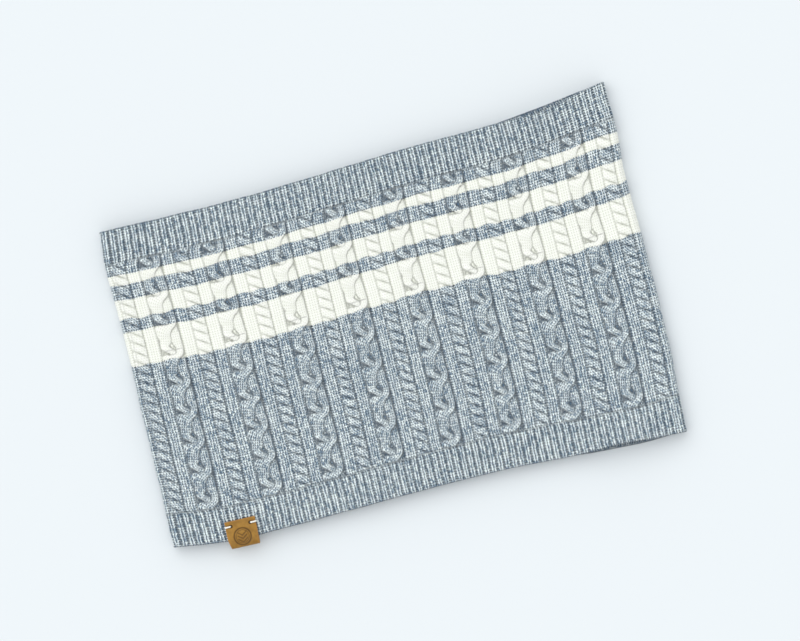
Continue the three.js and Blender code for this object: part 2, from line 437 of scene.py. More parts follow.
@dataclass
class StitchPlan:
    """The knitting: where each wale runs, which one is on top, and how high it stands."""

    rope_turn: float = 4.0  # courses from one crossing to the next
    rope_phase: float = 2.4  # course of a crossing
    rope_slant: float = 0.52  # courses that a crossing rises in one wale
    rope_middle: float = 3.5  # wales from the repeat's start
    ring_turn: float = 12.0
    ring_phase: float = 5.9  # course of a left crossing
    ring_offset: float = 2.9  # courses from a left crossing down to the right one
    rib_pitch: float = 1.07  # wales
    ribs: int = 4  # between a cable and the next
    seam_unit: float = 428.0 - SKEW  # where the tube is joined, on the lower layer near the left fold

    def __post_init__(self) -> None:
        """Lays out the paths of a repeat's gutters and ribs."""
        self._paths: list[tuple[float, Path]] = []
        for unit in UNITS[:-1]:
            self._paths.append((unit, self._gutter(unit)))
        for gutter in (UNITS[1], UNITS[3]):
            for number in range(self.ribs):
                path = self._rib(gutter + 0.9 + number * self.rib_pitch)
                self._paths.append((gutter + 1 + number, path))
        self._strand = Strand()

    def _gutter(self, unit: float) -> Path:
        """The path of a purl gutter, which a ring cable's crossings pull in on either side.

        Args:
            unit: Its wale in the repeat.

        Returns:
            The path.
        """
        def path(c: Array) -> tuple[Array, Array, Array, Array]:
            """Where the gutter runs at each course."""
            across = np.full_like(c, unit)
            if unit == UNITS[2]:
                across = across + 0.85 * self._pulled(self.ring_phase, c)
            elif unit == UNITS[3]:
                across = across - 0.75 * self._pulled(self.ring_phase - self.ring_offset, c)
            bars = 0.5 + 0.5 * np.cos(math.tau * c)
            # The gutter carries painted shade, darkest between its purl bars.
            return across, 0.5 + 0.45 * bars, np.full_like(c, 1.1), 1.3 - 1.15 * bars

        return path

    def _pulled(self, phase: float, c: Array) -> Array:
        """How far a gutter is pulled in, most just under a crossing.

        Args:
            phase: Course of a crossing.
            c: Courses.

        Returns:
            0 to 1, of c's shape.
        """
        turn = self.ring_turn
        below = np.mod(phase - c, turn)
        held = smooth_step(turn, turn - 1.0, below) * np.exp(-below / 4.0)
        return held + smooth_step(turn - 1.4, turn, below)

    def _rib(self, unit: float) -> Path:
        """The path of a knit rib, straight up at its wale."""
        def path(c: Array) -> tuple[Array, Array, Array, Array]:
            """Where the rib runs at each course."""
            # A rib carries only a faint painted shade.
            return tuple(np.full_like(c, value) for value in (unit, 1.6, self.rib_pitch, 0.1))

        return path

    def _rope(self, part: Array, course: Array) -> Surface:
        """The twisted rope: one leaf for each crossing, its wales running down to the right.

        Args:
            part: Wales from the repeat's start.
            course: Courses from the lower hem.

        Returns:
            The surface there.
        """
        across = part - self.rope_middle
        turn = (course - self.rope_phase + self.rope_slant * across) / self.rope_turn
        number = np.floor(turn)
        share = turn - number
        along = course - self.rope_phase - (number + 0.5) * self.rope_turn
        swing = np.sin(np.clip(along / 2.9, -1, 1) * math.pi / 2)
        round_leaf = np.clip(4 * share * (1 - share), 0, 1) ** 0.75
        side = np.clip(1 - (np.abs(across) / 3.75) ** 2.6, 0, 1) ** 0.7
        inside = across + 1.8 * swing
        height = 0.55 + (0.45 + 1.15 * round_leaf) * side
        middle = bell(across, 2.2)
        # Painted shade along the crease between leaves, and a faint painted highlight over the rest of the
        # rope.
        crease = smooth_step(0.2, 0.03, np.minimum(share, 1 - share)) * middle
        return Surface(height, self.rope_middle + inside * 0.78, course, 0.7 * crease - 0.16)

    def cables(self, units: Array, course: Array) -> Surface:
        """The relief of the cable rows.

        Args:
            units: Wales round the tube.
            course: Courses from the lower hem.

        Returns:
            The surface there.
        """
        part = np.mod(units, REPEAT)
        whole = units - part
        height = np.full_like(part, 0.45)
        # The purl fabric between the cables carries painted shade, varying once a course.
        wale, painted_shading = part.copy(), 0.8 + 0.2 * np.cos(math.tau * (course + 0.5))
        for label, path in self._paths:
            across, rise, width, dark = path(course)
            for turn in (-REPEAT, 0, REPEAT):
                away = (part - across - turn) / width
                near = np.abs(away) < 0.75
                top = rise - 0.95 * np.abs(away) ** 2.2
                wins = near & (top > height)
                height = np.where(wins, top, height)
                wale = np.where(wins, label + turn + away, wale)
                painted_shading = np.where(wins, dark, painted_shading)
        rope = self._rope(part, course)
        in_rope = (np.abs(part - self.rope_middle) < 3.3) & (rope.height > height)
        height = np.where(in_rope, rope.height, height)
        wale = np.where(in_rope, rope.wale, wale)
        painted_shading = np.where(in_rope, rope.painted_shading, painted_shading)
        v = course.copy()
        left, right = UNITS[2], UNITS[3]
        in_ring = (part > left + 0.1) & (part < right - 0.1)
        ring = self._strand.surface(part[in_ring] - left, self.ring_phase - course[in_ring])
        wins = ring.height > height[in_ring]
        layers = ((height, ring.height), (wale, ring.wale), (v, -ring.course), (painted_shading, ring.painted_shading))
        for target, source in layers:
            target[in_ring] = np.where(wins, source, target[in_ring])
        return Surface(height, wale + whole, v, painted_shading)

    @staticmethod
    def hem(units: Array, course: Array) -> Surface:
        """The relief of the hems' two-and-one rib.

        Args:
            units: Wales round the tube.
            course: Courses from the lower hem.

        Returns:
            The surface there.
        """
        even = units * (WALES - 1) / WALES
        group = np.floor(even / 3)
        part = even - group * 3
        away = np.abs(part - 1.5)  # from the groove between the two knit wales
        height = 1.7 - 0.22 * bell(away, 0.22) - 0.5 * smooth_step(0.9, 1.35, away)
        # Painted shade in the groove between the two knit wales, and deeper between the rib groups.
        painted_shading = 0.3 * bell(away, 0.2) + 0.4 * smooth_step(1.05, 1.4, away)
        wale = group * 3 + np.clip(1.5 + (part - 1.5) / 1.06, 0.5, 2.5)
        return Surface(height, wale, course, painted_shading)

    def surface(self, units: Array, course: Array) -> Surface:
        """The whole plan: hems, cables and the merging between them.

        Args:
            units: Wales round the tube.
            course: Courses from the lower hem.

        Returns:
            The surface there.
        """
        units, course = np.broadcast_arrays(units, course)
        cables, hem = self.cables(units + SKEW, course), self.hem(units, course)
        in_hem = 1 - smooth_step(*LOWER_MERGE, course) * (1 - smooth_step(*UPPER_MERGE, course))
        height = cables.height + (hem.height - cables.height) * in_hem
        wale = np.where(in_hem > 0.5, hem.wale, cables.wale)
        painted_shading = cables.painted_shading + (hem.painted_shading - cables.painted_shading) * in_hem
        seam = bell(units - self.seam_unit, 0.45)
        height = height - 0.7 * seam
        # Painted shade along the seam's groove, dotted once a course.
        painted_shading = np.maximum(painted_shading, seam * (0.75 + 0.25 * np.cos(math.tau * course)))
        # Stitches bulge once a course, and no two are quite alike.
        bulge = 0.05 * np.cos(math.tau * (course - 0.5))
        loose = ripple(21, ((0.05, 3.1), (0.05, 7.3)), units, course)
        v = np.where(in_hem > 0.5, course, cables.course)
        return Surface(height + (bulge + loose) * (1 - 0.6 * painted_shading), wale, v, painted_shading)


def blurred(grid: Array, rows: int, columns: int, closed: bool) -> Array:
    """A grid averaged over a window.

    Args:
        grid: The values.
        rows: Rows that the window reaches to either side.
        columns: Columns that it reaches.
        closed: Whether the last column meets the first.

    Returns:
        The averages, of grid's shape.
    """
    total = np.zeros_like(grid)
    padded = np.pad(grid, ((rows, rows), (0, 0)), mode="edge")
    padded = np.pad(padded, ((0, 0), (columns, columns)), mode="wrap" if closed else "edge")
    for i in range(2 * rows + 1):
        for j in range(2 * columns + 1):
            total += padded[i:i + grid.shape[0], j:j + grid.shape[1]]
    return total / ((2 * rows + 1) * (2 * columns + 1))


@dataclass
class Fabric:
    """Builds the bands' meshes."""

    lie: Lie
    plan: StitchPlan
    inner_step: int = 3  # outer columns for one inner column
    inner_height: float = 0.05
    # The inner face gets an even painted shade.
    inner_painted_shading: float = 0.35  # how shaded the inner face is
    merge: float = 2.5  # courses over which the rows take up a wandering border
    loop: float = 0.35  # how far the edge's loops stand out
    # The hem's rim: how far past its last course, height and painted shade.
    rim: tuple[tuple[float, float, float], ...] = (
        (0.10, 1.75, 0.0), (0.45, 1.95, 0.0), (0.85, 1.70, 0.1), (1.05, 1.20, 0.3), (0.95, 0.55, 0.6))

    def __post_init__(self) -> None:
        """Lays out the columns of the outer and the inner face."""
        self.columns = (np.arange(WALES * PER_WALE) + 0.5) / PER_WALE
        self.inner = self.columns[:: self.inner_step]

    def border(self, course: int, units: Array) -> Array:
        """The real line between two yarns: it steps down at each wale and wanders a little.

        Args:
            course: The course it keeps to.
            units: Wales round the tube.

        Returns:
            Courses, of units' shape.
        """
        if course in (0, COURSES):
            return np.full_like(units, float(course))
        teeth = 0.3 * np.cos(math.tau * units)
        return course - teeth + ripple(course, ((0.32, 26.0), (0.2, 9.0)), units)

    def rows(self, band: Band) -> Array:
        """Courses of every row of a band's outer face.

        Args:
            band: The band.

        Returns:
            One line of courses for each row.
        """
        count = band.courses * PER_COURSE
        low = self.border(band.start, self.columns)
        high = self.border(band.end, self.columns)
        steps = np.linspace(0, 1, count + 1)[:, None]
        course = band.start + band.courses * steps
        near_low = np.clip(1 - (course - band.start) / self.merge, 0, 1)
        near_high = np.clip(1 - (band.end - course) / self.merge, 0, 1)
        return course + (low - band.start) * near_low + (high - band.end) * near_high

    def build(self, band: Band, name: str, chosen: Array | None = None) -> bpy.types.Object:
        """One closed mesh for a band, or for a part of its way round.

        Args:
            band: The band.
            name: Name of the piece.
            chosen: Inner column numbers of a part, or None for the whole ring.

        Returns:
            The piece.
        """
        closed = chosen is None
        inner_ids = np.arange(len(self.inner)) if closed else np.asarray(chosen)
        step = self.inner_step
        count = len(inner_ids) * step if closed else (len(inner_ids) - 1) * step + 1
        outer_ids = (inner_ids[0] * step + np.arange(count)) % len(self.columns)
        units = self.columns[outer_ids][None, :]
        course = self.rows(band)[:, outer_ids]
        relief = self.plan.surface(units + np.zeros_like(course), course)
        height, v, wale = relief.height, relief.course, relief.wale
        # Painted shade: a place that lies lower than the fabric round it is darkened, and one that stands
        # higher gets painted highlight.
        near, wide = blurred(height, 2, 3, closed) - height, blurred(height, 4, 8, closed) - height
        painted_shading = np.clip(0.65 * relief.painted_shading + 0.55 * (0.65 * near + 0.25 * wide), -1.0, 1.0)
        beyond = np.zeros_like(course)
        if band.is_hem:
            height, wale, v, painted_shading, course, beyond = self._hem_rim(
                (height, wale, v, painted_shading, course, beyond), units[0], band.start == 0)
        outer = self.lie.place(units + np.zeros_like(course), course, height, beyond)
        inner_rows = max(2, band.courses // 2 + 1)
        low, high = self.border(band.start, self.inner), self.border(band.end, self.inner)
        steps = np.linspace(0, 1, inner_rows)[:, None]
        inner_course = (low + (high - low) * steps)[:, inner_ids % len(self.inner)]
        inner_units = self.inner[inner_ids % len(self.inner)][None, :] + np.zeros_like(inner_course)
        inner = self.lie.place(inner_units, inner_course, np.full_like(inner_course, self.inner_height))
        # The stitch attribute carries wale, stitch course and painted shading.
        stitches = np.stack([wale, v, painted_shading], axis=-1)
        inner_stitches = np.stack(
            [inner_units, inner_course, np.full_like(inner_course, self.inner_painted_shading)], axis=-1)
        return self._mesh(name, (outer, inner), (stitches, inner_stitches), closed)

    def _hem_rim(self, grids: Sequence[Array], units: Array, low: bool) -> list[Array]:
        """Adds the rounded rim and the edge's chain of loops to a hem's outer rows.

        Args:
            grids: Height, wale, stitch course, painted shading, course and reach past it, row by row.
            units: Wales of the columns.
            low: Whether it is the lower hem.

        Returns:
            The same grids with the rim's rows.
        """
        sign, edge, last = (-1.0, 0, 0.0) if low else (1.0, -1, float(COURSES))
        loops = self.loop * (0.5 + 0.5 * np.cos(math.tau * units))
        wale, course = grids[1][edge], grids[4][edge]
        flat = np.zeros_like(wale)
        # The rim gets painted shade on its rounded underside and where the edge's loops dip.
        added = [
            (rise - loops, wale, flat + last + sign * reach, dark + loops * (1 - dark),
             course, sign * (reach - loops * reach))
            for reach, rise, dark in self.rim]
        stacks = []
        for index, rows in enumerate(grids):
            extra = np.array([row[index] for row in added])
            stacks.append(np.vstack([extra[::-1], rows] if low else [rows, extra]))
        return stacks

    @staticmethod
    def _mesh(name: str, faces_of: Sequence[Array], stitches: Sequence[Array],
              closed: bool) -> bpy.types.Object:
        """Joins an outer and an inner face with their rims into one closed mesh.

        Args:
            name: Name of the piece.
            faces_of: Grids of points of the outer and the inner face.
            stitches: Wale, stitch course and painted shading of the same points.
            closed: Whether the last column meets the first.

        Returns:
            The piece, with its stitches and painted shading as an attribute.
        """
        outer, inner = faces_of
        rows, columns = outer.shape[:2]
        inner_rows, inner_columns = inner.shape[:2]
        points, values = (
            np.concatenate([grid.reshape(-1, 3) for grid in pair]) for pair in (faces_of, stitches))
        points[:, 2] = np.maximum(points[:, 2], 0.0)
        start = rows * columns
        o = np.arange(start).reshape(rows, columns)
        n = start + np.arange(inner_rows * inner_columns).reshape(inner_rows, inner_columns)
        if closed:
            o, n = np.hstack([o, o[:, :1]]), np.hstack([n, n[:, :1]])
        faces = [
            np.stack([o[:-1, :-1], o[:-1, 1:], o[1:, 1:], o[1:, :-1]], axis=-1).reshape(-1, 4),
            np.stack([n[:-1, 1:], n[:-1, :-1], n[1:, :-1], n[1:, 1:]], axis=-1).reshape(-1, 4),
        ]
        triangles, rims = [], []
        for edge, flip in ((0, False), (-1, True)):
            outer_line, inner_line = o[edge], n[edge]
            a, b, c, d = (outer_line[i:: 3][: len(inner_line) - 1] for i in range(4))
            p, q = inner_line[:-1], inner_line[1:]
            turned = -1 if flip else 1
            rims.append(np.stack([b, p, q, c][::turned], axis=-1))
            triangles += [np.stack(corners[::turned], axis=-1) for corners in ([a, p, b], [c, q, d])]
        polygons = np.concatenate(faces + rims).tolist() + np.concatenate(triangles).tolist()
        if not closed:
            for edge, flip in ((0, False), (-1, True)):
                line = list(o[:, edge]) + list(n[::-1, edge])
                polygons.append([int(i) for i in (line if not flip else line[::-1])])
        piece = piece_of(name, [(points.tolist(), polygons)])
        layer = piece.data.attributes.new("stitch", "FLOAT_VECTOR", "POINT")
        layer.data.foreach_set("vector", values.astype(np.float32).ravel())
        return piece


def tube(line: Array, radius: float, sides: int, closed: bool) -> tuple[list, list]:
    """A round tube along a line.

    Args:
        line: Points, in order.
        radius: Its radius.
        sides: Sides of its section.
        closed: Whether the line's end meets its start.

    Returns:
        Points and faces, with its ends capped where it is open.
    """
    if closed:
        along = np.roll(line, -1, axis=0) - np.roll(line, 1, axis=0)
    else:
        along = np.gradient(line, axis=0)
    along /= np.linalg.norm(along, axis=1)[:, None]
    guide = np.array([0.0, 1.0, 0.0]) if closed else np.array([0.0, 0.0, 1.0])
    first = np.cross(guide, along)
    first /= np.linalg.norm(first, axis=1)[:, None]
    second = np.cross(along, first)
    turn = np.arange(sides) * math.tau / sides
    rings = (line[:, None] + radius * np.cos(turn)[None, :, None] * first[:, None]
             + radius * np.sin(turn)[None, :, None] * second[:, None])
    count = len(line)
    faces = []
    for i in range(count if closed else count - 1):
        a, b = i * sides, (i + 1) % count * sides
        faces += [(a + k, a + (k + 1) % sides, b + (k + 1) % sides, b + k) for k in range(sides)]
    if not closed:
        faces += [tuple(range(sides))[::-1], tuple((count - 1) * sides + k for k in range(sides))]
    return rings.reshape(-1, 3).tolist(), faces


def piece_of(name: str, parts: Sequence[tuple[list, list]]) -> bpy.types.Object:
    """A piece made of closed parts.

    Args:
        name: Its name.
        parts: Points in millimetres and faces of each part.

    Returns:
        The piece, linked to the scene.
    """
    points, faces = [], []
    for part_points, part_faces in parts:
        start = len(points)
        points += [(x * MM, y * MM, z * MM) for x, y, z in part_points]
        faces += [tuple(i + start for i in face) for face in part_faces]
    mesh = bpy.data.meshes.new(name)
    mesh.from_pydata(points, [], faces)
    mesh.validate()
    mesh.shade_smooth()
    piece = bpy.data.objects.new(name, mesh)
    bpy.context.scene.collection.objects.link(piece)
    return piece


@dataclass
class Tag:
    """The folded leather tag and the two stitches that hold it.

    In the tag's own frame x runs across it from its middle, y up from its fold, and z from the
    middle between its two leaves.
    """

    lie: Lie
    x: float = -99.3  # of its middle
    turn: float = -1.0  # degrees
    overhang: float = 4.9  # of the fold past the hem's edge
    middle: float = 8.3  # height of the middle between its leaves
    width: float = 15.8
    shown: float = 14.2  # from the fold to the free end
    thick: float = 1.2
    bend: float = 2.0  # radius of the fold's middle surface
    hole: tuple[float, float, float] = (5.0, 11.5, 0.78)  # x, y and radius
    mark: tuple[float, float, float] = (-0.2, 5.4, 4.3)  # x, y and radius of the pressed circle
    chevrons: int = 3
    grid: float = 0.15  # of its mesh
    bevel: float = 0.3
    thread: float = 0.27  # radius of one ply
    thread_sides: int = 8
    twist: float = 0.2  # radius at which the two plies wind round each other
    winds: int = 9  # round one stitch

    def __post_init__(self) -> None:
        """Finds the hem's edge under the tag."""
        self.edge = float(self.lie.along(np.array(self.x), np.array(0.0), 1.0))

    @property
    def straight(self) -> float:
        """Length of each flat leaf."""
        return self.shown - self.bend - self.thick / 2

    @property
    def length(self) -> float:
        """Length of the strip before it is folded."""
        return 2 * self.straight + math.pi * self.bend

    def place(self, points: Array) -> Array:
        """Takes points from the tag's own frame to the gaiter's.

        Args:
            points: The points.

        Returns:
            The same points on the gaiter.
        """
        angle = math.radians(self.turn)
        x, y, z = np.moveaxis(points, -1, 0)
        return np.stack([
            self.x + x * math.cos(angle) - y * math.sin(angle),
            self.edge - self.overhang + x * math.sin(angle) + y * math.cos(angle),
            self.middle + z], axis=-1)

    def _pressed(self, x: Array, y: Array) -> Array:
        """How deep the front is pressed: a double circle with a column of chevrons in it.

        Args:
            x: x of the leather's points.
            y: Their y.

        Returns:
            Depths.
        """
        cx, cy, radius = self.mark
        away = np.hypot(x - cx, y - cy)
        depth = 0.32 * bell(away - radius, 0.34)
        for row in range(self.chevrons):
            vee = np.abs(y - (cy + 1.5 - 1.75 * row) - 0.75 * (np.abs(x - cx) - 1.2))
            depth = np.maximum(depth, 0.26 * bell(vee, 0.36) * smooth_step(2.7, 2.3, np.abs(x - cx)))
        return np.maximum(depth, 0.26 * bell(away - radius + 1.0, 0.14))

    def _sewn(self, x: Array, y: Array) -> Array:
        """How deep a leaf is pressed by its stitches and pierced at their holes.

        Args:
            x: x of the leaf's points.
            y: Their y.

        Returns:
            Depths.
        """
        hole_x, hole_y, radius = self.hole
        x = np.abs(x)
        away = np.hypot(x - hole_x, y - hole_y)
        hole = (self.thick - 0.15) * smooth_step(radius + 0.16, radius - 0.08, away)
        notch = 0.34 * bell((y - hole_y) / 0.62, 1.0) * smooth_step(hole_x - 0.5, hole_x + 0.2, x)
        return np.maximum(hole, notch)

    def leather(self) -> bpy.types.Object:
        """The folded strip: front leaf, fold and back leaf, with its pressed mark and its holes.

        Returns:
            The piece, with how pressed (painted shade in the stitch holes and notches) and how near an
            edge each point is as an attribute.
        """
        rows, columns = round(self.length / self.grid) + 1, round(self.width / self.grid) + 1
        run = np.linspace(0, self.length, rows)[:, None]
        share = np.linspace(-1, 1, columns)[None, :]
        turn = np.clip((run - self.straight) / self.bend, 0, math.pi)
        past = np.maximum(run - self.straight - math.pi * self.bend, 0)
        half, half_thick = self.width / 2, self.thick / 2
        bottom = self.bend + half_thick
        y = np.where(run < self.straight, self.shown - run, bottom - self.bend * np.sin(turn) + past)
        z = self.bend * np.cos(turn)
        normal_y, normal_z = -np.sin(turn), np.cos(turn)
        # Its sides were cut by hand, draw in towards the fold and are nicked by the stitches.
        cut = 0.75 * smooth_step(5.0, 0.4, y) - 0.15 * bell(y - 7.5, 3.0)
        left, right = half - cut, half - 0.35 * smooth_step(9.0, 0.0, y)
        nick = 0.75 * bell(y - self.hole[1], 0.45)
        x = np.where(share < 0, share * (left - nick), share * (right - nick))
        shape = np.broadcast_shapes(x.shape, y.shape)
        x, y, z, normal_y, normal_z = (np.broadcast_to(a, shape) for a in (x, y, z, normal_y, normal_z))
        pressed = np.where(z > 0, self._pressed(x, y + normal_y * half_thick), 0.0)
        flat = np.abs(normal_z) > 0.98
        # The stitch holes and notches take the same darkening as the pressed mark; there it is painted
        # shade.
        pressed = np.maximum(pressed, np.where(flat, self._sewn(x, y), 0.0))
        border = np.minimum(half * (1 - np.abs(share)), np.minimum(run, self.length - run))
        bevel = self.bevel * (1 - np.clip(border / 0.4, 0, 1)) ** 2
        uneven = ripple(31, ((0.035, 5.0), (0.02, 2.0)), x, run + 0 * x)
        grids = [
            self.place(np.stack([x, y + normal_y * off, z + normal_z * off], axis=-1))
            for off in (half_thick - bevel - pressed + uneven, -half_thick + bevel * 0.6)]
        n = rows * columns
        o = np.arange(n).reshape(rows, columns)
        i = o + n
        faces = [
            np.stack([o[:-1, :-1], o[1:, :-1], o[1:, 1:], o[:-1, 1:]], -1).reshape(-1, 4),
            np.stack([i[:-1, :-1], i[:-1, 1:], i[1:, 1:], i[1:, :-1]], -1).reshape(-1, 4),
            np.stack([o[0, :-1], o[0, 1:], i[0, 1:], i[0, :-1]], -1),
            np.stack([o[-1, 1:], o[-1, :-1], i[-1, :-1], i[-1, 1:]], -1),
            np.stack([o[1:, 0], o[:-1, 0], i[:-1, 0], i[1:, 0]], -1),
            np.stack([o[:-1, -1], o[1:, -1], i[1:, -1], i[:-1, -1]], -1),
        ]
        points = np.concatenate([grid.reshape(-1, 3) for grid in grids])
        piece = piece_of("leather_tag_folded", [(points.tolist(), np.concatenate(faces).tolist())])
        # The attribute holds the pressing, painted shade in the stitch holes and notches, and nearness to
        # an edge.
        layer = piece.data.attributes.new("press_edge_and_hole_shade", "FLOAT_VECTOR", "POINT")
        press_edge_and_hole_shade = np.zeros((2 * n, 3), np.float32)
        press_edge_and_hole_shade[:n, 0] = np.clip(pressed / 0.3, 0, 1).ravel()
        press_edge_and_hole_shade[:, 1] = np.tile((1 - smooth_step(0.1, 0.9, border + 0 * x)).ravel(), 2)
        layer.data.foreach_set("vector", press_edge_and_hole_shade.ravel())
        return piece

    def stitch(self, side: int) -> bpy.types.Object:
        """A stitch of two-ply thread through one hole and round the tag's side.

        Args:
            side: -1 on the left, 1 on the right.

        Returns:
            The piece.
        """
        near, far = self.hole[0] + 0.35, self.width / 2 + 0.05
        high, corner = 2.78, 0.6  # the loop's half height and the radius of its corners
        outline = []
        for x, z, start in ((far - corner, high - corner, 0), (near + corner, high - corner, 90),
                            (near + corner, corner - high, 180), (far - corner, corner - high, 270)):
            for angle in np.radians(start + np.arange(0, 91, 15)):
                outline.append((x + corner * math.cos(angle), z + corner * math.sin(angle)))
        outline = np.array(outline + outline[:1])
        run = np.concatenate([[0], np.cumsum(np.hypot(*np.diff(outline, axis=0).T))])
        steps = np.linspace(0, run[-1], 161)[:-1]
        x, z = np.interp(steps, run, outline[:, 0]), np.interp(steps, run, outline[:, 1])
        middle = np.stack([side * x, np.full_like(x, self.hole[1]), z], axis=-1)
        along = np.roll(middle, -1, axis=0) - np.roll(middle, 1, axis=0)
        along /= np.linalg.norm(along, axis=1)[:, None]
        across = np.array([0.0, 1.0, 0.0])
        up = np.cross(along, across)
        parts = []
        for ply in range(2):
            angle = (math.tau * (steps / run[-1] * self.winds + ply / 2))[:, None]
            line = middle + self.twist * (np.cos(angle) * across + np.sin(angle) * up)
            parts.append(tube(self.place(line), self.thread, self.thread_sides, True))
        return piece_of(f"tag_stitch_{'left' if side < 0 else 'right'}_thread", parts)


def linking_yarn(lie: Lie) -> bpy.types.Object:
    """The yarn that joins the tube, braided up the inside of the lower layer.

    Args:
        lie: Where the fabric lies.

    Returns:
        The piece.
    """
    plies, lay, radius, height = 3, 4.0, 0.3, 3.25
    course = np.linspace(1.0, COURSES - 1.0, 600)
    seam = lie.left(course) + SEAM_FROM_EDGE
    parts = []
    for ply in range(plies):
        angle = math.tau * (course * COURSE / lay + ply / plies)
        x = seam + 0.38 * np.sin(angle)
        z = height + 0.22 * np.sin(2 * angle)
        y = lie.along(seam, course, 0.0)
        parts.append(tube(np.stack([x, y, z], axis=-1), radius, 7, False))
    return piece_of("seam_linking_yarn_braid", parts)


Socket = bpy.types.NodeSocket
Colour = tuple[float, float, float]  # display values, 0 to 255


class Graph:
    """A small helper for building a material's nodes."""

    def __init__(self, name: str) -> None:
        """Starts a material with a principled shader.

        Args:
            name: The material's name.
        """
        self.material = bpy.data.materials.new(name)
        self.material.use_nodes = True
        self.tree = self.material.node_tree
        self.tree.nodes.clear()
        self.output = self.tree.nodes.new("ShaderNodeOutputMaterial")
        self.shader = self.tree.nodes.new("ShaderNodeBsdfPrincipled")
        self.tree.links.new(self.shader.outputs["BSDF"], self.output.inputs["Surface"])

    def node(self, kind: str, **settings: Any) -> bpy.types.ShaderNode:
        """A new node.

        Args:
            kind: Its type.
            **settings: Its properties.

        Returns:
            The node.
        """
        made = self.tree.nodes.new(kind)
        for key, value in settings.items():
            setattr(made, key, value)
        return made

    def feed(self, socket: Socket, value: Any) -> None:
        """Feeds an input.

        Args:
            socket: The input.
            value: An output to link it to, or its constant.
        """
        if isinstance(value, bpy.types.NodeSocket):
            self.tree.links.new(value, socket)
        else:
            socket.default_value = value

    def math(self, operation: str, *values: Any, clamp: bool = False) -> Socket:
        """The output of a Math node.

        Args:
            operation: What it does.
            *values: Its inputs, as outputs of other nodes or constants.
            clamp: Whether the result is kept between 0 and 1.

        Returns:
            The result.
        """
        made = self.node("ShaderNodeMath", operation=operation, use_clamp=clamp)
        for socket, value in zip(made.inputs, values):
            self.feed(socket, value)
        return made.outputs[0]

    def mix(self, factor: Any, a: Any, b: Any) -> Socket:
        """A mix of two colours.

        Args:
            factor: 0 for the first and 1 for the second.
            a: The first.
            b: The second.

        Returns:
            The colour.
        """
        made = self.node("ShaderNodeMix", data_type="RGBA")
        self.feed(made.inputs["Factor"], factor)
        self.feed(made.inputs[6], a)
        self.feed(made.inputs[7], b)
        return made.outputs[2]

    def noise(self, vector: Socket, scale: float, detail: float, roughness: float) -> Socket:
        """A noise texture's value.

        Args:
            vector: Where it is read.
            scale: Its scale.
            detail: Its octaves.
            roughness: How strong the finer octaves are.

        Returns:
            The value.
        """
        made = self.node("ShaderNodeTexNoise")
        self.feed(made.inputs["Vector"], vector)
        made.inputs["Scale"].default_value = scale
        made.inputs["Detail"].default_value = detail
        made.inputs["Roughness"].default_value = roughness
        return made.outputs["Fac"]

    def step(self, low: float, high: float, value: Socket) -> Socket:
        """A smooth step.

        Args:
            low: Where it starts to rise from 0.
            high: Where it reaches 1.
            value: What it is read from.

        Returns:
            The step.
        """
        made = self.node("ShaderNodeMapRange", interpolation_type="SMOOTHSTEP")
        self.feed(made.inputs["Value"], value)
        made.inputs["From Min"].default_value = low
        made.inputs["From Max"].default_value = high
        return made.outputs["Result"]


def linear(red: float, green: float, blue: float) -> tuple[float, float, float, float]:
    """A colour as the linear values that a shader takes.

    Args:
        red: Its display value, 0 to 255.
        green: Likewise.
        blue: Likewise.

    Returns:
        Red, green, blue and alpha.
    """
    def one(value: float) -> float:
        """One channel."""
        share = value / 255
        return share / 12.92 if share <= 0.04045 else ((share + 0.055) / 1.055) ** 2.4

    return (one(red), one(green), one(blue), 1.0)


